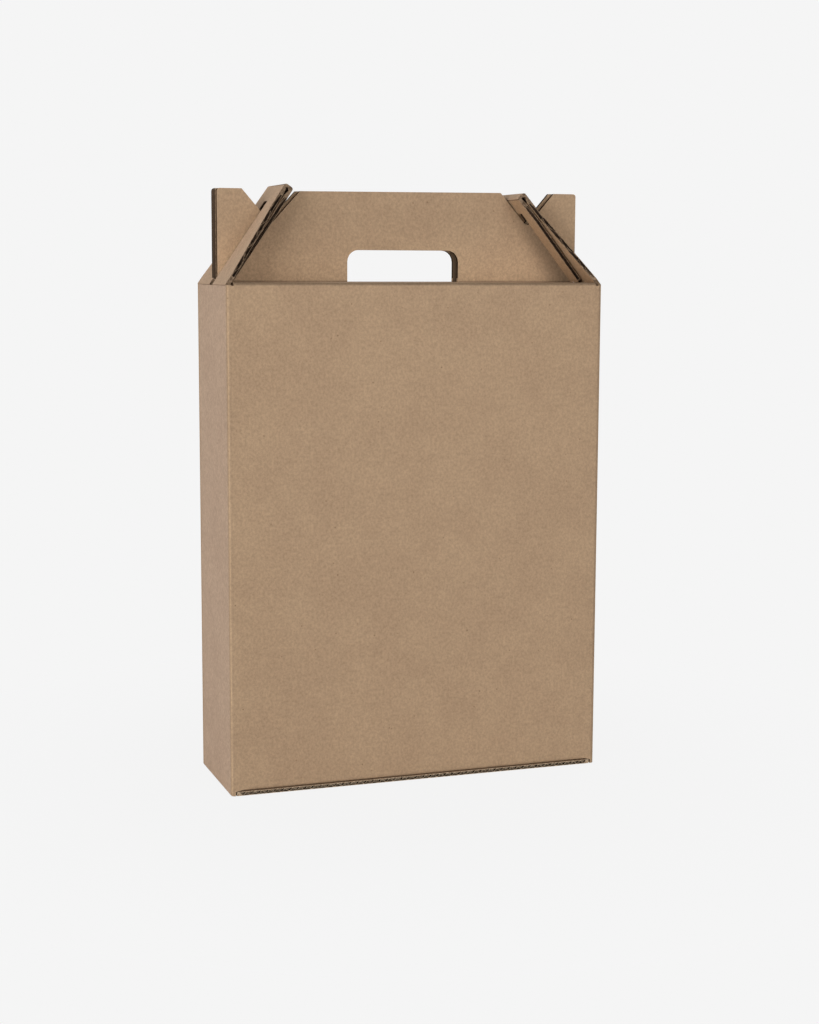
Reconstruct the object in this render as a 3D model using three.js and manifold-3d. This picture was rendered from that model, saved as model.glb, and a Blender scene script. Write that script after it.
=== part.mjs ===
// Three-bottle wine carrier in brown corrugated board: a tall, narrow box whose front and back
// panels fold in over the bottles and rise into a doubled handle, locked by two slotted side flaps.
// Frame: the origin is on the ground under the middle of the box, X along its width,
// Y from front to back, Z up. All sizes are in millimetres.

import * as THREE from 'three';
import { mergeVertices } from 'three/addons/utils/BufferGeometryUtils.js';
import Module from 'manifold-3d';

const wasm = await Module();
wasm.setup();

// Box
const boxWidth = 270;
const boxDepth = 88;
const sideHeight = 345;
const shoulderRise = 1.4;
const board = 2.8;
const clearance = 0.3;

// Bends, measured on the middle of the board
const uprightBend = 1.7;
const creaseBend = 1.7;
const bendSteps = 5;

// Handle
const handleHeight = 64;
const handleGap = 1.8;
const backHandleSkew = 2;
const earEdgeInset = 3.5;
const earTopWidth = 17.2;
const earCornerRadius = 2;
const notchTopWidth = 40.7;
const centreTopFall = 1.2;
const notchDepth = 22;
const notchSlope = 49;
const handHoleWidth = 81.6;
const handHoleOffset = 0.9;
const handHoleHeight = 22;
const handHoleRadius = 8;
const cutCornerRadius = 0.8;

// Locking flaps
const leftFlapSlope = 55.3;
const flapLength = 82;
const flapBaseInset = 3;
const flapBaseStraight = 6;
const flapShoulderLength = 60;
const flapNeckWidth = 51;
const flapNeckStep = 1;
const flapFoldWidth = 44;
const hemGap = 1;
const foldBend = 1.6;
const foldShell = 1.3;
const foldHollowWidth = 2.4;
const innerSlotWidth = 21;
const slotSideClearance = 0.6;
const slotEndClearance = 0.6;
const flapCornerRadius = 1.5;

// Bottom
const bottomFlapSetback = 0.6;
const bottomFlapSideGap = 0.8;
const frontFootRise = 14;
const innerFlapEndGap = 8;
const innerFlapWidth = 248;
const dustFlapLength = 82;
const dustFlapSideGap = 6;
const dustFlapRampStart = 4.5;
const dustFlapRampLength = 5.5;
const dustFlapBend = 1;
const dustFlapLap = 20;
const sideFootLift = 0.2;
const sideFootChamfer = 0.6;

// Corner reliefs and the glued joint
const cornerReliefWidth = 3.2;
const glueTabWidth = 30;
const glueTabSetback = 10;
const glueBite = 0.05;
const seamSetback = 0.6;
const shoulderEndRelief = 1.6;
const shoulderEndDrop = 0.7;

// Bottle divider
const cellCount = 3;
const dividerHeight = 210;
const dividerEndGap = 2;

// Flutes of the board, hollow behind the cut edges that show
const flutePitch = 5.4;
const liner = 0.35;
const medium = 0.3;
const fluteOpenDepth = 2;

// How far a cutting shape reaches past the faces it cuts
const overcut = 1;

// Heights and half sizes that follow from them
const halfBoard = board / 2;
const wallX = boxWidth / 2 - halfBoard;
const wallY = boxDepth / 2 - halfBoard;
const innerX = boxWidth / 2 - board;
const innerY = boxDepth / 2 - board;
const shoulderTop = sideHeight + shoulderRise;
const shoulderZ = shoulderTop - halfBoard;
const handleTop = sideHeight + handleHeight;
const handleY = (handleGap + board) / 2;
const handleHalfThickness = handleGap / 2 + board;
const bottomFlapZ = halfBoard;
const innerFlapZ = bottomFlapZ + board + clearance;
const dustFlapZ = innerFlapZ + board + clearance;
const hingeX = boxWidth / 2 + clearance;
const hingeZ = sideHeight;
const reliefX = boxWidth / 2 - cornerReliefWidth;
const earX = boxWidth / 2 - earEdgeInset;
const earTopX = earX - earTopWidth;
const notchFloorZ = handleTop - notchDepth;
const centreX = earTopX - notchTopWidth;
const hemDepth = 2 * board + hemGap;
const flapBaseWidth = boxDepth - 2 * flapBaseInset;
const dustFlapWidth = boxDepth - 2 * dustFlapSideGap;

const radians = (angle) => THREE.MathUtils.degToRad(angle);
const degrees = (angle) => THREE.MathUtils.radToDeg(angle);

const notchRun = notchDepth / Math.tan(radians(notchSlope));

// The right flap leans in until its folded end rests on the inner wall of the notch.
const notchWall = [[centreX, handleTop], [centreX + notchRun, notchFloorZ]];
const rightFlapSlope = Math.max(...notchWall.map(([x, z]) => {
  const reach = Math.hypot(hingeX - x, z - hingeZ);
  const rise = Math.atan2(z - hingeZ, hingeX - x);
  return degrees(rise + Math.asin((hemDepth + clearance) / reach));
}));

// A corner is [a, b, radius]. The corner is replaced by the points of its arc.
function cornerArc(before, corner, after) {
  const [a, b, radius = 0] = corner;
  const here = new THREE.Vector2(a, b);
  const into = here.clone().sub(new THREE.Vector2(before[0], before[1])).normalize();
  const out = new THREE.Vector2(after[0], after[1]).sub(here).normalize();
  const turn = Math.atan2(into.cross(out), into.dot(out));
  if (radius === 0) {
    const mean = into.clone().add(out).normalize();
    return [{ point: here, along: mean, stretch: 1 / Math.cos(turn / 2) }];
  }
  const reach = radius * Math.tan(Math.abs(turn) / 2);
  const start = here.clone().addScaledVector(into, -reach);
  const side = Math.sign(turn);
  const centre = start.clone().add(new THREE.Vector2(-into.y, into.x).multiplyScalar(side * radius));
  const points = [];
  for (let step = 0; step <= bendSteps; step += 1) {
    const angle = (turn * step) / bendSteps;
    const point = start.clone().rotateAround(centre, angle);
    const along = into.clone().rotateAround(new THREE.Vector2(), angle);
    points.push({ point, along, stretch: 1 });
  }
  return points;
}

// A strip of board seen on edge: its centreline runs through the corners, bent at their radii.
function foldedStrip(corners) {
  const line = [];
  corners.forEach((corner, i) => {
    const before = corners[i - 1];
    const after = corners[i + 1];
    if (before && after) {
      line.push(...cornerArc(before, corner, after));
      return;
    }
    const [from, to] = before ? [before, corner] : [corner, after];
    const along = new THREE.Vector2(to[0] - from[0], to[1] - from[1]).normalize();
    line.push({ point: new THREE.Vector2(corner[0], corner[1]), along, stretch: 1 });
  });
  const offset = ({ point, along, stretch }, distance) =>
    new THREE.Vector2(-along.y, along.x).multiplyScalar(distance * stretch).add(point);
  const upper = line.map((entry) => offset(entry, halfBoard));
  const lower = line.map((entry) => offset(entry, -halfBoard)).reverse();
  return new THREE.Shape([...upper, ...lower]);
}

// A closed outline whose corners are rounded at their radii.
function roundedOutline(corners) {
  const last = corners.length - 1;
  const points = corners.flatMap((corner, i) =>
    cornerArc(corners[i === 0 ? last : i - 1], corner, corners[i === last ? 0 : i + 1]));
  return new THREE.Shape(points.map(({ point }) => point));
}

// The same outline on both sides of the axis: the half is listed from its foot to its top.
function mirroredOutline(half) {
  const other = half.map(([x, z, radius]) => [-x, z, radius]).reverse();
  return [...half, ...other];
}

function rectangle(a0, b0, a1, b1) {
  return new THREE.Shape([
    new THREE.Vector2(a0, b0), new THREE.Vector2(a1, b0),
    new THREE.Vector2(a1, b1), new THREE.Vector2(a0, b1),
  ]);
}

function toSolid(geometry) {
  geometry.deleteAttribute('normal');
  geometry.deleteAttribute('uv');
  const merged = mergeVertices(geometry, 1e-4);
  const mesh = new wasm.Mesh({
    numProp: 3,
    vertProperties: Float32Array.from(merged.attributes.position.array),
    triVerts: Uint32Array.from(merged.index.array),
  });
  return new wasm.Manifold(mesh);
}

// The triangles of the shell that has the most of them. Hollows that no cut edge opens are left out.
function outerShell(triVerts, vertexCount) {
  const parent = Array.from({ length: vertexCount }, (_, i) => i);
  const root = (vertex) => {
    let at = vertex;
    while (parent[at] !== at) {
      parent[at] = parent[parent[at]];
      at = parent[at];
    }
    return at;
  };
  for (let i = 0; i < triVerts.length; i += 3) {
    parent[root(triVerts[i + 1])] = root(triVerts[i]);
    parent[root(triVerts[i + 2])] = root(triVerts[i]);
  }
  const sizes = new Map();
  triVerts.forEach((vertex) => sizes.set(root(vertex), (sizes.get(root(vertex)) ?? 0) + 1));
  const [largest] = [...sizes].reduce((best, entry) => (entry[1] > best[1] ? entry : best));
  return triVerts.filter((vertex) => root(vertex) === largest);
}

function toGeometry(solid) {
  const { vertProperties, triVerts } = solid.getMesh();
  const shell = outerShell(triVerts, vertProperties.length / 3);
  const kept = [...new Set(shell)];
  const renumbered = new Map(kept.map((vertex, i) => [vertex, i]));
  const positions = kept.flatMap((vertex) => [...vertProperties.subarray(3 * vertex, 3 * vertex + 3)]);
  const geometry = new THREE.BufferGeometry();
  geometry.setAttribute('position', new THREE.Float32BufferAttribute(positions, 3));
  geometry.setIndex([...shell].map((vertex) => renumbered.get(vertex)));
  geometry.computeVertexNormals();
  return geometry;
}

function extruded(shape, from, to, basis) {
  const geometry = new THREE.ExtrudeGeometry(shape, { depth: to - from, bevelEnabled: false });
  geometry.translate(0, 0, from);
  geometry.applyMatrix4(basis);
  return toSolid(geometry);
}

const X = new THREE.Vector3(1, 0, 0);
const Y = new THREE.Vector3(0, 1, 0);
const Z = new THREE.Vector3(0, 0, 1);
const basisAlongX = new THREE.Matrix4().makeBasis(Y, Z, X);
const basisAlongY = new THREE.Matrix4().makeBasis(X, Z, Y.clone().negate());
const basisAlongZ = new THREE.Matrix4();

// Prisms: a shape in (y, z) along X, in (x, z) along Y, or in (x, y) along Z.
const prismX = (shape, x0, x1) => extruded(shape, x0, x1, basisAlongX);
const prismY = (shape, y0, y1) => extruded(shape, -y1, -y0, basisAlongY);
const prismZ = (shape, z0, z1) => extruded(shape, z0, z1, basisAlongZ);
const block = (x0, x1, y0, y1, z0, z1) => prismZ(rectangle(x0, y0, x1, y1), z0, z1);

const join = (solids) => solids.reduce((whole, solid) => whole.add(solid));
const cut = (solid, tools) => tools.reduce((rest, tool) => rest.subtract(tool), solid);

// Section of the flutes over a width: the hollow cells lie by turns under and over the wavy medium.
function fluteCells(width, place) {
  const rise = board - 2 * liner - medium;
  const foot = 0.38 * flutePitch;
  const crown = 0.12 * flutePitch;
  const cell = [[-foot, liner], [foot, liner], [crown, liner + rise], [-crown, liner + rise]];
  const last = Math.ceil(width / flutePitch);
  const cells = [];
  for (let half = -last; half <= last; half += 1) {
    const under = half % 2 === 0;
    const outline = cell.map(([across, depth]) =>
      place((half * flutePitch) / 2 + across, under ? depth : board - depth));
    cells.push(new THREE.Shape(outline.map(([a, b]) => new THREE.Vector2(a, b))));
  }
  return cells;
}

// The rim of an outline: what lies within the open depth of its edges along either axis.
function rim(outlineAt) {
  const steps = [[1, 0], [-1, 0], [0, 1], [0, -1]];
  const shifted = steps.map(([a, b]) => outlineAt(a * fluteOpenDepth, b * fluteOpenDepth));
  return outlineAt(0, 0).subtract(shifted.reduce((core, copy) => core.intersect(copy)));
}

const moved = (shape, a, b) =>
  new THREE.Shape(shape.getPoints().map((point) => new THREE.Vector2(point.x + a, point.y + b)));

// Walls: the strip starts at the free edge of the back panel and runs round to the left panel,
// whose tab is glued inside the back panel.
function wallRing() {
  const panels = foldedStrip([
    [-boxWidth / 2 + seamSetback, wallY],
    [wallX, wallY, uprightBend],
    [wallX, -wallY, uprightBend],
    [-wallX, -wallY, uprightBend],
    [-wallX, innerY - glueTabWidth],
  ]);
  const tabY = innerY - halfBoard + glueBite;
  const tab = foldedStrip([
    [-wallX, 0],
    [-wallX, tabY, uprightBend],
    [-innerX + glueTabWidth, tabY],
  ]);
  const tabFrom = dustFlapZ + glueTabSetback;
  const tabTo = sideHeight - glueTabSetback;
  return prismZ(panels, sideFootLift, sideHeight)
    .add(prismZ(tab, sideFootLift, sideHeight)
      .subtract(block(-innerX + overcut, 0, innerY - 2 * board, innerY - glueBite, 0, tabFrom))
      .subtract(block(-innerX + overcut, 0, innerY - 2 * board, innerY - glueBite, tabTo, shoulderTop)));
}

// The top edge of a side panel is bevelled parallel to the end of the flap that folds from it.
function sideTopBevel(side, lean) {
  const up = new THREE.Vector2(-side * Math.cos(radians(lean)), Math.sin(radians(lean)));
  const across = new THREE.Vector2(-side * up.y, side * up.x);
  const start = new THREE.Vector2(side * hingeX, hingeZ).addScaledVector(up, -clearance);
  const outside = start.clone().addScaledVector(across, -board);
  const inside = start.clone().addScaledVector(across, 3 * board);
  const lift = new THREE.Vector2(0, 4 * board);
  const wedge = new THREE.Shape([outside, inside, inside.clone().add(lift), outside.clone().add(lift)]);
  const reach = flapBaseWidth / 2 + clearance;
  return prismY(wedge, -reach, reach);
}

function sideFootBevel(side) {
  const outer = side * (boxWidth / 2);
  const wedge = new THREE.Shape([
    new THREE.Vector2(outer - side * sideFootChamfer, sideFootLift),
    new THREE.Vector2(outer + side * overcut, sideFootLift - overcut),
    new THREE.Vector2(outer + side * overcut, sideFootLift + sideFootChamfer + overcut),
    new THREE.Vector2(outer, sideFootLift + sideFootChamfer),
  ]);
  return prismY(wedge, -boxDepth, boxDepth);
}

// The front and back outline of a handle panel, with the shoulder and wall below it.
function panelOutline(skew) {
  const shoulderX = reliefX - shoulderEndRelief;
  const earFootZ = shoulderTop + board;
  const half = [
    [reliefX, 0],
    [reliefX, sideHeight - shoulderEndDrop],
    [shoulderX, sideHeight - shoulderEndDrop],
    [shoulderX, shoulderTop],
    [earX, earFootZ],
    [earX, handleTop, earCornerRadius],
    [earTopX, handleTop, cutCornerRadius],
    [earTopX - notchRun, notchFloorZ, cutCornerRadius],
    [centreX + notchRun, notchFloorZ, cutCornerRadius],
    [centreX, handleTop, cutCornerRadius],
  ];
  const skewed = mirroredOutline(half).map(([x, z, radius]) => {
    const leftTop = x === -centreX && z === handleTop;
    return [z > shoulderTop ? x - skew : x, leftTop ? z - centreTopFall : z, radius];
  });
  return roundedOutline(skewed);
}

function handHole(skew) {
  const left = handHoleOffset - skew - handHoleWidth / 2;
  const right = left + handHoleWidth;
  const top = shoulderTop + handHoleHeight;
  return roundedOutline([
    [left, shoulderTop],
    [right, shoulderTop],
    [right, top, handHoleRadius],
    [left, top, handHoleRadius],
  ]);
}

// One run of panels from the bottom flap, up the wall, over the shoulder and up the handle.
// facing is -1 for the front run and 1 for the back run.
function panelRun(facing, flapEndY, flapZ, skew) {
  const run = foldedStrip([
    [facing * flapEndY, flapZ],
    [facing * wallY, flapZ, creaseBend],
    [facing * wallY, shoulderZ, uprightBend],
    [facing * handleY, shoulderZ, creaseBend],
    [facing * handleY, handleTop],
  ]);
  const strip = prismX(run, -boxWidth / 2, boxWidth / 2);
  const outlineAt = (x, z) => prismY(moved(panelOutline(skew), x, z), -boxDepth, boxDepth)
    .subtract(prismY(moved(handHole(skew), x, z), -boxDepth, boxDepth));
  const faceY = facing * handleY - halfBoard;
  const cells = prismZ(
    fluteCells(boxWidth, (across, depth) => [across, faceY + depth]),
    shoulderTop + board,
    handleTop + board,
  );
  return strip.intersect(outlineAt(0, 0)).subtract(cells.intersect(rim(outlineAt)));
}

// A dust flap leaves the foot of its side panel over the outer bottom flap and climbs on to the
// inner one.
function dustFlap(side) {
  const rampX = innerX - dustFlapRampStart;
  const strip = foldedStrip([
    [side * wallX, dustFlapLap],
    [side * wallX, innerFlapZ, creaseBend],
    [side * rampX, innerFlapZ, dustFlapBend],
    [side * (rampX - dustFlapRampLength), dustFlapZ, dustFlapBend],
    [side * (boxWidth / 2 - dustFlapLength), dustFlapZ],
  ]);
  return prismY(strip, -dustFlapWidth / 2, dustFlapWidth / 2);
}

function carton() {
  const frontClear = shoulderZ - uprightBend;
  // The lower edge of the front panel falls towards its corners, past the ends of its inner flap.
  const frontFootEnd = board + clearance;
  const frontFoot = roundedOutline(mirroredOutline([
    [reliefX, 0],
    [reliefX, frontFootEnd],
    [reliefX - frontFootRise, innerFlapZ + creaseBend],
  ]));
  const ring = cut(wallRing(), [
    sideTopBevel(-1, leftFlapSlope),
    sideTopBevel(1, rightFlapSlope),
    sideFootBevel(-1),
    sideFootBevel(1),
    block(-reliefX, reliefX, -boxDepth, -innerY + overcut, frontClear, shoulderTop),
    block(-reliefX, reliefX, innerY - overcut, boxDepth, frontClear, shoulderTop),
    prismY(frontFoot, -boxDepth, -innerY + overcut),
    block(-reliefX, reliefX, innerY - overcut, boxDepth, 0, bottomFlapZ + creaseBend),
  ]);
  const innerFlapEnd = -boxDepth / 2 + innerFlapEndGap;
  const bottomFlapEnd = -boxDepth / 2 + bottomFlapSetback;
  const flapSides = [-1, 1].map((side) => {
    const [x0, x1] = [side * innerFlapWidth / 2, side * boxWidth].sort((a, b) => a - b);
    return block(x0, x1, -dustFlapWidth / 2 - overcut, boxDepth, board, dustFlapZ);
  });
  const frontRun = cut(panelRun(-1, innerFlapEnd, innerFlapZ, 0), flapSides);
  const bottomSides = [-1, 1].map((side) => {
    const [x0, x1] = [side * (reliefX - bottomFlapSideGap), side * boxWidth].sort((a, b) => a - b);
    return block(x0, x1, -boxDepth, innerY - board, -overcut, board + overcut);
  });
  const backRun = cut(panelRun(1, bottomFlapEnd, bottomFlapZ, backHandleSkew), bottomSides);
  const bottomFlutes = prismY(
    fluteCells(2 * (reliefX - flutePitch), (across, depth) => [across, depth]),
    bottomFlapEnd - overcut,
    bottomFlapEnd + fluteOpenDepth,
  );
  return join([ring, frontRun, backRun.subtract(bottomFlutes), dustFlap(-1), dustFlap(1)]);
}

// The ears of the handle swing past the slot, so its end is set by their farthest corner.
function slotEnd(side) {
  const farther = Math.max(hingeX - earTopX, hingeX - earTopX + side * backHandleSkew);
  return Math.hypot(farther, handleTop - hingeZ) + slotEndClearance;
}

// Locking flap in its own frame: Z up the flap from its crease, Y across it, X from its outer
// face inwards. The inner layer is folded back and hangs down to the shoulder.
function lockingFlap(side, lean) {
  const innerX0 = board + hemGap;
  const foldZ = flapLength;
  const slotZ = slotEnd(side);
  const hemZ = foldZ - innerX0 - board;
  const sine = Math.sin(radians(lean));
  const cosine = Math.cos(radians(lean));
  const innerFootZ = (shoulderRise + clearance + hemDepth * cosine) / sine;
  const neckX = flapNeckWidth / 2;
  const foldX = flapFoldWidth / 2;
  const hemX = foldX + (neckX - flapNeckStep - foldX) * ((foldZ - hemZ) / (foldZ - flapShoulderLength));

  const outer = roundedOutline(mirroredOutline([
    [flapBaseWidth / 2, 0],
    [flapBaseWidth / 2, flapBaseStraight, flapCornerRadius],
    [neckX, flapShoulderLength],
    [neckX - flapNeckStep, flapShoulderLength],
    [hemX, hemZ],
  ]));
  const inner = roundedOutline(mirroredOutline([
    [neckX - flapNeckStep, innerFootZ, flapCornerRadius],
    [neckX - flapNeckStep, flapShoulderLength],
    [hemX, hemZ],
  ]));
  // The fold, seen along the crease: crushed board round a hollow that narrows to the gap.
  const middle = hemDepth / 2;
  const fold = roundedOutline([
    [0, hemZ - clearance],
    [hemDepth, hemZ - clearance],
    [hemDepth, foldZ, foldBend],
    [0, foldZ, foldBend],
  ]);
  const hollow = roundedOutline([
    [middle - hemGap / 2, hemZ - board],
    [middle + hemGap / 2, hemZ - board],
    [middle + hemGap / 2, hemZ],
    [middle + foldHollowWidth / 2, foldZ - board],
    [middle, foldZ - foldShell],
    [middle - foldHollowWidth / 2, foldZ - board],
    [middle - hemGap / 2, hemZ],
  ]);
  const foldOutline = roundedOutline(mirroredOutline([
    [hemX, hemZ - clearance],
    [hemX, hemZ],
    [foldX, foldZ + overcut],
  ]));
  const outerSlot = handleHalfThickness + slotSideClearance;
  const innerSlot = innerSlotWidth / 2;
  const layer = (outline, slot, depth0, footZ) => {
    const slotOutline = rectangle(-slot, -overcut, slot, slotZ);
    const outlineAt = (y, z) => prismX(moved(outline, y, z), depth0, depth0 + board)
      .subtract(prismX(moved(slotOutline, y, z), depth0 - overcut, depth0 + board + overcut));
    const cells = prismZ(
      fluteCells(flapBaseWidth, (across, depth) => [depth0 + depth, across]),
      footZ + flapCornerRadius,
      hemZ - fluteOpenDepth,
    );
    return outlineAt(0, 0).subtract(cells.intersect(rim(outlineAt)));
  };
  return join([
    layer(outer, outerSlot, 0, flapBaseStraight),
    layer(inner, innerSlot, innerX0, innerFootZ),
    prismY(fold, -flapBaseWidth, flapBaseWidth)
      .subtract(prismY(hollow, -flapBaseWidth, flapBaseWidth))
      .intersect(prismX(foldOutline, -overcut, hemDepth + overcut)),
  ]);
}

// Bottle divider: one strip folded round the cells, front to back and front again.
function bottleDivider() {
  const cell = (2 * innerX) / cellCount;
  const faceY = innerY - clearance - halfBoard;
  const corners = [[-innerX + dividerEndGap, -faceY]];
  for (let wall = 1; wall < cellCount; wall += 1) {
    const x = -innerX + wall * cell;
    const from = wall % 2 === 1 ? -faceY : faceY;
    corners.push([x, from, uprightBend], [x, -from, uprightBend]);
  }
  const endY = cellCount % 2 === 1 ? -faceY : faceY;
  corners.push([innerX - dividerEndGap, endY]);
  const foot = dustFlapZ + halfBoard + clearance;
  return prismZ(foldedStrip(corners), foot, foot + dividerHeight);
}

const kraft = (color) => new THREE.MeshStandardMaterial({ color, roughness: 0.9, metalness: 0 });

function piece(name, solid, color) {
  const mesh = new THREE.Mesh(toGeometry(solid), kraft(color));
  mesh.name = name;
  return mesh;
}

const outerKraft = 0xa78a6d;
const innerKraft = 0xa08265;
const carrier = new THREE.Group();
carrier.add(piece('carton', carton(), outerKraft));
carrier.add(piece('bottle_divider', bottleDivider(), innerKraft));

for (const [name, side, lean] of [['left', -1, leftFlapSlope], ['right', 1, rightFlapSlope]]) {
  const flap = piece(`${name}_locking_flap`, lockingFlap(side, lean), outerKraft);
  flap.rotation.y = radians(90 - lean);
  flap.position.set(-hingeX, 0, hingeZ);
  const end = new THREE.Group();
  end.rotation.z = side > 0 ? Math.PI : 0;
  end.add(flap);
  carrier.add(end);
}

export default carrier;
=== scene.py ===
"""Looks of the three-bottle wine carrier: brown kraft board, cut edges, studio and camera."""
import math

import bpy
from mathutils import Matrix, Vector

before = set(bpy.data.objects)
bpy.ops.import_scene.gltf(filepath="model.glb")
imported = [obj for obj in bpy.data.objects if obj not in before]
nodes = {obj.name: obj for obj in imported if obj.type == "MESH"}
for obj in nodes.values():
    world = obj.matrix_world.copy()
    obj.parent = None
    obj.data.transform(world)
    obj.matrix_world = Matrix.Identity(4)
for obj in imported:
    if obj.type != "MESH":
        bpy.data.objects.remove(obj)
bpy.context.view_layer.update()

# Photo frame: the focal length in pixels, the sensor in millimetres, the rest in metres
IMAGE_LONG = 1024
FOCAL_PIXELS = 1805
YAW = math.radians(19.28)
PITCH = math.radians(7.77)
ROLL = math.radians(0.23)
EYE = Vector((-0.4138, -1.2046, 0.3578))
SENSOR_WIDTH = 36
CLIP_START = 0.01

# Places on the box, in metres from the middle of its foot
BOARD = 0.0028
FLUTE_PITCH = 0.0054
SHOULDER_TOP = 0.3464
CREASE_START = 0.343
ABOVE_WALLS = 0.3
WALLS_TO_TOP = (ABOVE_WALLS, ABOVE_WALLS + 0.01)
HANDLE_TO_SHOULDER = (0.006, 0.012)
RELIEF_X = 0.1318
EAR_EDGE_X = 0.1315
WALL_END_X = 0.129
SIDE_FACE_X = 0.1349
FRONT_FACE_Y = 0.0415
FLUTED_EDGE_Y = 0.0413
BEND_SUM = 0.1319 + 0.0409 + 0.0031 * math.sqrt(2)
LINER_DEPTHS = (0.0009, 0.0037)
FOLD_LENGTH = 2.4 * BOARD
# How far the right flap leans in for each metre that it rises
FLAP_LEAN = 0.65

# How near a face has to lie to a plane, in metres, to count as part of it
NEAR = 1e-5
LINER_NEAR = 3e-5
WALL_NEAR = 5e-5
FOOT_NEAR = 1e-4

# Numbers of the carton's materials in the list that dress is given
FRONT, SIDE, INNER, CUT, HOLLOW, GAP_SHADED, FLUTED = range(7)
# Numbers of a flap's materials
FLAP_OUTER, FLAP_CUT, FLAP_HOLLOW, FLAP_INNER = range(4)

# Surfaces and light
LINER_ROUGHNESS = 0.86
LINER_SPECULAR = 0.25
CUT_ROUGHNESS = 0.95
CUT_SPECULAR = 0.1
SHARP_ANGLE = 32
BACKDROP = (0.9131, 0.9131, 0.9131)
WORLD_STRENGTH = 0.24
FLOOR_SIZE = 12
FLOOR_DROP = 0.0002
# From the first distance to the second, the share of backdrop in the floor rises to all of it
FLOOR_FADE = (0.1, 0.4)
FLOOR_SHARE = 0.96


def linear(red, green, blue):
    """A colour given as 0 to 255 in sRGB, as the linear colour that the shaders take."""
    out = []
    for value in (red, green, blue):
        share = value / 255
        out.append(share / 12.92 if share <= 0.04045 else ((share + 0.055) / 1.055) ** 2.4)
    return (*out, 1.0)


SPECK_COLOUR = linear(92, 68, 48)
# Painted shade in the gap between the handle's layers
GAP_SHADE_COLOUR = linear(64, 49, 37)


class Nodes:
    """Short calls for building one material's nodes."""

    def __init__(self, name):
        self.material = bpy.data.materials.new(name)
        self.material.use_nodes = True
        self.tree = self.material.node_tree
        self.shader = self.tree.nodes["Principled BSDF"]
        self.output = self.tree.nodes["Material Output"]

    def add(self, kind, **values):
        """A node, with each value set on its property or else on the input of that name."""
        node = self.tree.nodes.new(kind)
        for key, value in values.items():
            if hasattr(node, key):
                setattr(node, key, value)
            else:
                node.inputs[key.replace("_", " ")].default_value = value
        return node

    def link(self, source, target):
        self.tree.links.new(source, target)

    def fill(self, slots, values):
        """Sets each slot to its value, or links it where the value is another node's output."""
        for slot, value in zip(slots, values):
            if isinstance(value, (int, float, tuple)):
                slot.default_value = value
            else:
                self.link(value, slot)

    def surface(self, colour, roughness, specular):
        """The board's matt shader, with its colour linked or set."""
        inputs = self.shader.inputs
        slots = (inputs["Base Color"], inputs["Roughness"], inputs["Specular IOR Level"])
        self.fill(slots, (colour, roughness, specular))

    def place(self, scale):
        """Object coordinates, stretched by scale."""
        coordinates = self.add("ShaderNodeTexCoord")
        mapping = self.add("ShaderNodeMapping", Scale=scale)
        self.link(coordinates.outputs["Object"], mapping.inputs["Vector"])
        return mapping.outputs["Vector"]

    def noise(self, vector, size, detail, roughness=0.55):
        """Noise whose grains are about size metres across."""
        node = self.add("ShaderNodeTexNoise", Scale=1 / size, Detail=detail, Roughness=roughness)
        self.link(vector, node.inputs["Vector"])
        return node.outputs["Fac"]

    def ramp(self, factor, low, high, start=0.0, end=1.0):
        """Goes smoothly from start to end while the factor goes from low to high."""
        node = self.add("ShaderNodeMapRange", interpolation_type="SMOOTHSTEP")
        names = ("Value", "From Min", "From Max", "To Min", "To Max")
        self.fill([node.inputs[name] for name in names], (factor, low, high, start, end))
        return node.outputs["Result"]

    def math(self, operation, a, b):
        node = self.add("ShaderNodeMath", operation=operation)
        self.fill(node.inputs, (a, b))
        return node.outputs["Value"]

    def all_of(self, first, *others):
        """The product of its arguments."""
        for other in others:
            first = self.math("MULTIPLY", first, other)
        return first

    def any_of(self, first, *others):
        """The largest of its arguments."""
        for other in others:
            first = self.math("MAXIMUM", first, other)
        return first

    def size_of(self, value):
        return self.math("ABSOLUTE", value, 0)

    def mix(self, factor, a, b, blend="MIX"):
        node = self.add("ShaderNodeMix", data_type="RGBA", blend_type=blend)
        self.fill((node.inputs[0], node.inputs[6], node.inputs[7]), (factor, a, b))
        return node.outputs[2]

    def tone(self, colour, factor):
        """The colour made lighter or darker by the factor."""
        grey = self.add("ShaderNodeCombineColor")
        self.fill(grey.inputs, (factor, factor, factor))
        return self.mix(1.0, colour, grey.outputs[0], "MULTIPLY")

    def bump(self, height, strength, distance):
        node = self.add("ShaderNodeBump", Strength=strength, Distance=distance)
        self.link(height, node.inputs["Height"])
        self.link(node.outputs["Normal"], self.shader.inputs["Normal"])


def specked(n, plain, colour):
    """The colour with tiny dark specks, which noise leaves out over most of the board."""
    cells = n.add("ShaderNodeTexVoronoi", Scale=1 / 0.007, Randomness=1.0)
    n.link(plain, cells.inputs["Vector"])
    sparse = n.ramp(n.noise(plain, 0.012, 2), 0.5, 0.6)
    dots = n.all_of(n.ramp(cells.outputs["Distance"], 0.05, 0.11, 1, 0), sparse)
    return n.mix(n.all_of(dots, 0.45), colour, SPECK_COLOUR)


def painted_bend_highlight(n, x, depth, z):
    """Painted highlight along the middle of the upright corners' bends, with painted shade on
    their flanks.
    """
    across = n.math("ADD", n.size_of(x), depth)
    below = n.ramp(z, SHOULDER_TOP - 0.002, SHOULDER_TOP - 0.001, 1, 0)
    bend = n.ramp(across, BEND_SUM - 0.0013, BEND_SUM - 0.0009)
    middle = n.ramp(across, BEND_SUM - 0.00016, BEND_SUM - 0.00004, -0.1, 0.1)
    return n.math("ADD", n.all_of(below, bend, middle), 1.0)


def painted_crease_shade(n, depth, z):
    """Painted shade along the crease at the foot of the handle."""
    foot = n.ramp(z, SHOULDER_TOP + 0.0003, SHOULDER_TOP + 0.0016, 0.6, 1)
    off_handle = n.ramp(depth, *HANDLE_TO_SHOULDER)
    below = n.ramp(z, *WALLS_TO_TOP, 1, 0)
    return n.any_of(foot, off_handle, below)


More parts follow.
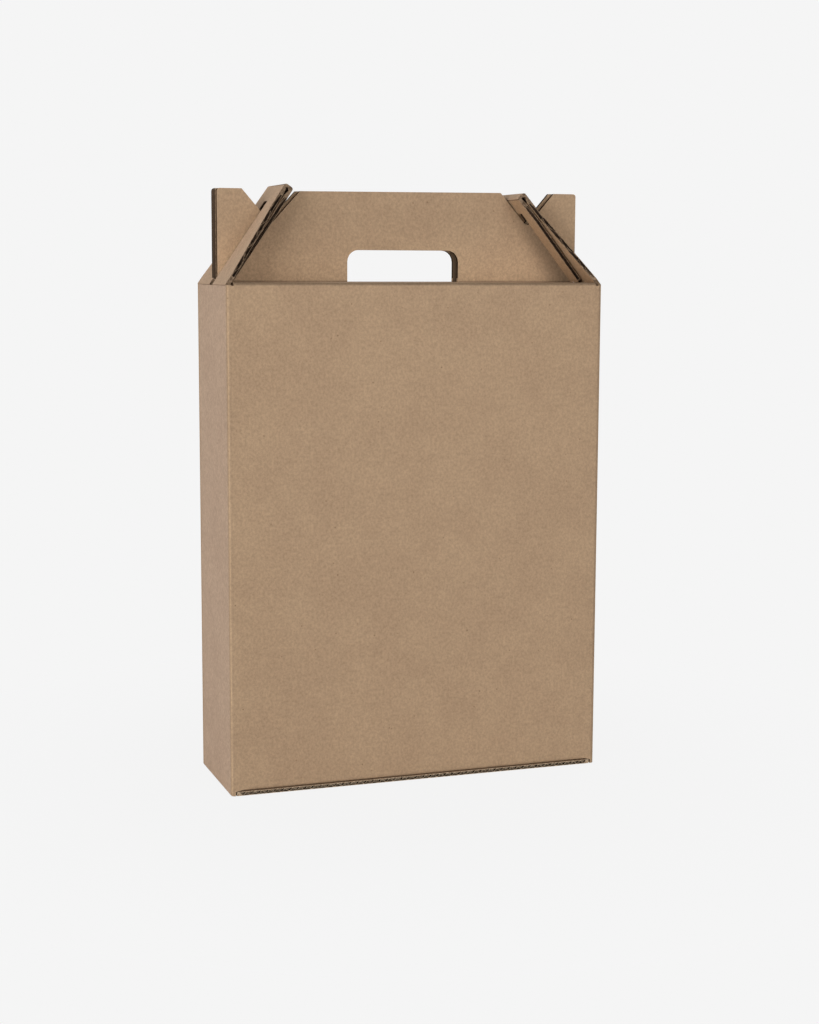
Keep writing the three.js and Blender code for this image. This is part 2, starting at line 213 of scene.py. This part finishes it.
def painted_bounce_light(n, x, depth, z):
    """Painted light on the handle's foot, standing in for light the shoulders throw up, with
    painted shade under the right flap.
    """
    foot = n.ramp(z, SHOULDER_TOP + 0.002, SHOULDER_TOP + 0.045, 1, 0)
    on_handle = n.ramp(depth, *HANDLE_TO_SHOULDER, 1, 0)
    above = n.ramp(z, *WALLS_TO_TOP)
    lean = n.all_of(n.math("SUBTRACT", z, SHOULDER_TOP), FLAP_LEAN)
    # Painted shade where the right flap overhangs the handle
    under_flap = n.ramp(n.math("ADD", x, lean), 0.103, 0.119, 1, -0.2)
    right = n.all_of(n.ramp(x, -0.02, 0.09, 0.15, 0.36), under_flap)
    both = n.math("ADD", right, n.ramp(x, -0.11, -0.05, 0.25, 0))
    return n.math("ADD", n.all_of(foot, on_handle, above, both), 1.0)


def painted_rim_shade(n, depth, z):
    """Painted shade along the outer edge of the shoulders."""
    rim = n.ramp(z, SHOULDER_TOP - 0.0024, SHOULDER_TOP - 0.0009, 0, 0.42)
    return n.math("SUBTRACT", 1.0, n.all_of(rim, n.ramp(depth, 0.0409, 0.0415)))


def painted_foot_shade(n, x, y, z):
    """Painted shade on the front wall over the fluted edge of the bottom."""
    above = n.ramp(z, 0.0032, 0.0044, 0.5, 1)
    past_edge = n.ramp(n.size_of(x), 0.118, 0.122)
    behind = n.ramp(y, -0.0435, -0.0425)
    return n.any_of(above, past_edge, behind)


def painted_gap_shade(n, plain, x, z, colour):
    """Painted shade, with a ragged edge, on the faces between the handle's layers beside the left
    ear and right of the hand hole.
    """
    ragged = n.all_of(n.noise(plain, 0.0015, 2), 0.0008)
    reach = n.math("ADD", x, ragged)
    ear = n.ramp(reach, -EAR_EDGE_X + 0.0002, -EAR_EDGE_X + 0.0006, 0.9, 0)
    hole = n.all_of(
        n.ramp(x, 0.036, 0.038),
        n.ramp(x, 0.043, 0.044, 0.8, 0),
        n.ramp(z, 0.369, 0.37, 1, 0),
    )
    return n.mix(n.any_of(ear, hole), colour, GAP_SHADE_COLOUR)


def kraft(name, base, light, dark, washboard=0.0, painted_light_and_shade=False, bend_highlight=False, gap_shade=False):
    """Brown kraft liner: cloudy tone, fibres, dark specks, and the flutes faintly telegraphed;
    where asked, a painted highlight on the bends, painted light and shade about the handle,
    shoulders and foot, and painted shade between the handle's layers.
    """
    n = Nodes(name)
    plain = n.place((1, 1, 1))
    fibres = n.place((1, 1, 0.85))
    cloud = n.ramp(n.noise(plain, 0.03, 3), 0.35, 0.65)
    colour = n.mix(0.6, n.mix(cloud, linear(*dark), linear(*light)), linear(*base))
    grain = n.ramp(n.noise(fibres, 0.0017, 4, 0.75), 0.3, 0.7, 0.85, 1.15)
    patches = n.ramp(n.noise(plain, 0.006, 3, 0.6), 0.3, 0.7, 0.975, 1.025)
    colour = n.tone(colour, n.all_of(grain, patches))
    colour = specked(n, plain, colour)
    spot = n.add("ShaderNodeSeparateXYZ")
    n.link(plain, spot.inputs[0])
    x, y, z = spot.outputs
    depth = n.size_of(y)
    # Painted highlight down the middle of the upright bends, with painted shade on their flanks
    if bend_highlight:
        colour = n.tone(colour, painted_bend_highlight(n, x, depth, z))
    # Painted light and shade about the handle, shoulders and foot
    if painted_light_and_shade:
        tone = n.all_of(
            painted_crease_shade(n, depth, z),
            painted_bounce_light(n, x, depth, z),
            painted_rim_shade(n, depth, z),
            painted_foot_shade(n, x, y, z),
        )
        colour = n.tone(colour, tone)
    # Painted shade on the faces between the handle's layers
    if gap_shade:
        colour = painted_gap_shade(n, plain, x, z, colour)
    n.surface(colour, LINER_ROUGHNESS, LINER_SPECULAR)
    height = n.noise(fibres, 0.0016, 5, 0.65)
    if washboard:
        waves = n.add("ShaderNodeTexWave", wave_type="BANDS", bands_direction="X")
        # The wave texture repeats every 2 pi / 20 at a scale of one.
        waves.inputs["Scale"].default_value = 2 * math.pi / 20 / FLUTE_PITCH
        n.link(plain, waves.inputs["Vector"])
        height = n.math("ADD", height, n.all_of(waves.outputs["Fac"], washboard))
    n.bump(height, 0.25, 0.00012)
    return n.material


def cut_edge(name, base, dark, grain=0.0018):
    """Raw edge of the board, darker and rougher than its faces."""
    n = Nodes(name)
    plain = n.place((1, 1, 1))
    ragged = n.ramp(n.noise(plain, grain, 5, 0.7), 0.35, 0.65)
    n.surface(n.mix(ragged, linear(*dark), linear(*base)), CUT_ROUGHNESS, CUT_SPECULAR)
    n.bump(n.noise(plain, 0.0009, 4, 0.7), 0.6, 0.0003)
    return n.material


def dress(node, materials, choose):
    """Gives each face of a CAD node one of the materials, by its number from choose."""
    mesh = nodes[node].data
    mesh.materials.clear()
    for material in materials:
        mesh.materials.append(material)
    for face in mesh.polygons:
        face.material_index = choose(face.center, face.normal)


def carton_face(centre, normal):
    """The number of the carton's material for a face with this centre and normal."""
    x, y, z = abs(centre.x), abs(centre.y), centre.z
    if z > SHOULDER_TOP + 0.002:
        if abs(normal.y) < 0.1:
            return CUT
        if abs(normal.y) > 0.95 and min(abs(y - depth) for depth in LINER_DEPTHS) < LINER_NEAR:
            return GAP_SHADED if y < LINER_DEPTHS[0] + LINER_NEAR else FRONT
        return HOLLOW
    if WALL_END_X < x < RELIEF_X + WALL_NEAR and abs(normal.x) > 0.9:
        return CUT
    if x > RELIEF_X - WALL_NEAR and abs(normal.z) > 0.2:
        return SIDE if z > ABOVE_WALLS else CUT
    if centre.y < -FLUTED_EDGE_Y and z < BOARD + NEAR and x < RELIEF_X:
        if abs(normal.z) < 0.1:
            return FLUTED
        return FRONT if z < NEAR or z > BOARD - NEAR else HOLLOW
    if x > SIDE_FACE_X:
        return SIDE
    if y > FRONT_FACE_Y or z > CREASE_START or z < FOOT_NEAR:
        return FRONT
    return INNER


def flap_face(node):
    """The choice for one flap, by its thickness, which runs along its largest face's normal."""
    mesh = nodes[node].data
    across = max(mesh.polygons, key=lambda face: face.area).normal.copy()
    if across.z < 0:
        across.negate()
    flat = [face for face in mesh.polygons if abs(face.normal.dot(across)) > 0.99]
    levels = [face.center.dot(across) for face in flat]
    low, high = min(levels), max(levels)
    liners = (low, low + BOARD, high - BOARD, high)
    along = across.cross(Vector((0, 1, 0)))
    if along.z < 0:
        along.negate()
    heights = [vertex.co.dot(along) for vertex in mesh.vertices]
    foot, fold_start = min(heights), max(heights) - FOLD_LENGTH

    def choose(centre, normal):
        depth, height = centre.dot(across), centre.dot(along)
        facing = abs(normal.dot(across))
        if facing > 0.95 and min(abs(depth - level) for level in liners) < WALL_NEAR:
            return FLAP_OUTER if depth > high - WALL_NEAR else FLAP_INNER
        if abs(normal.y) < 0.3 and facing < 0.97 and height > fold_start:
            return FLAP_OUTER
        if height < foot + FOOT_NEAR:
            return FLAP_OUTER
        return FLAP_CUT if facing < 0.1 else FLAP_HOLLOW

    return choose


def divider_face(centre, normal):
    return 1 if abs(normal.z) > 0.9 else 0


def soften(node):
    """Smooth shading over the bends, flat over the sharp edges."""
    mesh = nodes[node].data
    for face in mesh.polygons:
        face.use_smooth = True
    mesh.set_sharp_from_angle(angle=math.radians(SHARP_ANGLE))


# Liners, each as its base, light and dark colour
BODY = ((168, 141, 113), (173, 146, 117), (162, 135, 108))
# The sides and the flaps' outer faces are paler, pinker copies of the front's kraft: painted
# sheen
SIDE_SHEEN = ((176, 150, 128), (180, 154, 131), (171, 145, 123))
front_kraft = kraft("kraft_front", *BODY, washboard=0.1, painted_light_and_shade=True, bend_highlight=True)
side_sheen_kraft = kraft("kraft_side_sheen", *SIDE_SHEEN, bend_highlight=True)
outer_sheen_kraft = kraft("kraft_flap_outer_sheen", (178, 151, 126), (182, 155, 129), (173, 146, 121))
flap_kraft = kraft("kraft_flap", (172, 142, 111), (177, 147, 115), (166, 136, 106))
inner_kraft = kraft("kraft_inner", (160, 132, 104), (166, 138, 110), (152, 124, 97))
divider_kraft = kraft("kraft_divider", (158, 130, 102), (163, 136, 108), (150, 122, 95))
gap_shade_kraft = kraft("kraft_gap_shade", *BODY, gap_shade=True)

# Cut edges, each as its base and dark colour
edge = cut_edge("cut_edge", (108, 87, 67), (64, 49, 37))
# The inside of the flutes is painted near black as shade, darker than the brown medium
painted_hollow_shade = cut_edge("flute_hollow_shade", (58, 44, 33), (34, 25, 18))
flap_edge = cut_edge("flap_cut_edge", (142, 120, 98), (84, 67, 52))
# The bottom's fluted front edge is painted paler than the board, painted light where it sits in
# shade
painted_light_flute_edge = cut_edge("bottom_flute_edge_painted_light", (205, 184, 158), (140, 118, 95), 0.0012)

carton_set = [front_kraft, side_sheen_kraft, inner_kraft, edge, painted_hollow_shade, gap_shade_kraft, painted_light_flute_edge]
dress("carton", carton_set, carton_face)
dress("bottle_divider", [divider_kraft, edge], divider_face)
for flap in ("left_locking_flap", "right_locking_flap"):
    dress(flap, [outer_sheen_kraft, flap_edge, painted_hollow_shade, flap_kraft], flap_face(flap))
for node in nodes:
    soften(node)

# Floor, which the camera sees almost as bright as the backdrop
bpy.ops.mesh.primitive_plane_add(size=FLOOR_SIZE, location=(0, 0, -FLOOR_DROP))
floor = bpy.context.object
floor.name = "floor"
n = Nodes("floor")
n.surface((*BACKDROP, 1.0), 1.0, 0.0)
far = n.add("ShaderNodeVectorMath", operation="LENGTH")
n.link(n.place((1, 1, 0)), far.inputs[0])
fade = n.ramp(far.outputs["Value"], *FLOOR_FADE, FLOOR_SHARE, 1)
path = n.add("ShaderNodeLightPath")
glow = n.add("ShaderNodeEmission", Color=(*BACKDROP, 1.0), Strength=1.0)
blend = n.add("ShaderNodeMixShader")
seen_by_camera = n.all_of(fade, path.outputs["Is Camera Ray"])
n.fill(blend.inputs, (seen_by_camera, n.shader.outputs[0], glow.outputs[0]))
n.link(blend.outputs[0], n.output.inputs["Surface"])
floor.data.materials.append(n.material)

# World: a soft light for the part, and the plain backdrop wherever it is seen
world = bpy.data.worlds.new("studio")
bpy.context.scene.world = world
world.use_nodes = True
tree = world.node_tree
lit = tree.nodes["Background"]
lit.inputs["Color"].default_value = (1, 1, 1, 1)
lit.inputs["Strength"].default_value = WORLD_STRENGTH
seen = tree.nodes.new("ShaderNodeBackground")
seen.inputs["Color"].default_value = (*BACKDROP, 1.0)
seen.inputs["Strength"].default_value = 1.0
rays = tree.nodes.new("ShaderNodeLightPath")
is_seen = rays.outputs["Is Camera Ray"]
for ray in ("Is Glossy Ray", "Is Transmission Ray"):
    either = tree.nodes.new("ShaderNodeMath")
    either.operation = "MAXIMUM"
    tree.links.new(is_seen, either.inputs[0])
    tree.links.new(rays.outputs[ray], either.inputs[1])
    is_seen = either.outputs[0]
choice = tree.nodes.new("ShaderNodeMixShader")
for source, slot in zip((is_seen, lit.outputs[0], seen.outputs[0]), choice.inputs):
    tree.links.new(source, slot)
tree.links.new(choice.outputs[0], tree.nodes["World Output"].inputs["Surface"])


def area_light(name, place, target, size, power):
    """A rectangular lamp of this width, height and power in watts, turned to the target."""
    data = bpy.data.lights.new(name, "AREA")
    data.shape = "RECTANGLE"
    data.size, data.size_y = size
    data.energy = power
    lamp = bpy.data.objects.new(name, data)
    bpy.context.scene.collection.objects.link(lamp)
    lamp.location = place
    lamp.rotation_euler = (Vector(target) - Vector(place)).to_track_quat("-Z", "Y").to_euler()


area_light("left_key", (-2.9, -2.3, 0.75), (0, 0, 0.2), (2.0, 2.0), 68.5)
area_light("right_key", (0.6, -2.5, 0.8), (0, 0, 0.2), (1.2, 1.2), 18.5)
area_light("top", (0, -0.5, 2.4), (0, 0, 0.3), (1.4, 1.4), 9)
area_light("left_fill", (-2.4, -0.2, 0.35), (0, 0, 0.1), (1.4, 0.7), 9.8)
area_light("back_fill", (1.8, 1.8, 0.8), (0, 0, 0.2), (1.4, 1.4), 26)

# Camera
forward = Vector((
    math.sin(YAW) * math.cos(PITCH),
    math.cos(YAW) * math.cos(PITCH),
    -math.sin(PITCH),
))
level = Vector((math.cos(YAW), -math.sin(YAW), 0))
up = level.cross(forward)
right = level * math.cos(ROLL) + up * math.sin(ROLL)
up = right.cross(forward)
camera = bpy.data.objects.new("camera", bpy.data.cameras.new("camera"))
bpy.context.scene.collection.objects.link(camera)
camera.data.sensor_width = SENSOR_WIDTH
camera.data.lens = SENSOR_WIDTH * FOCAL_PIXELS / IMAGE_LONG
camera.data.clip_start = CLIP_START
camera.matrix_world = Matrix((
    (right.x, up.x, -forward.x, EYE.x),
    (right.y, up.y, -forward.y, EYE.y),
    (right.z, up.z, -forward.z, EYE.z),
    (0, 0, 0, 1),
))
bpy.context.scene.camera = camera
bpy.context.scene.view_settings.view_transform = "Standard"

bpy.context.view_layer.update()
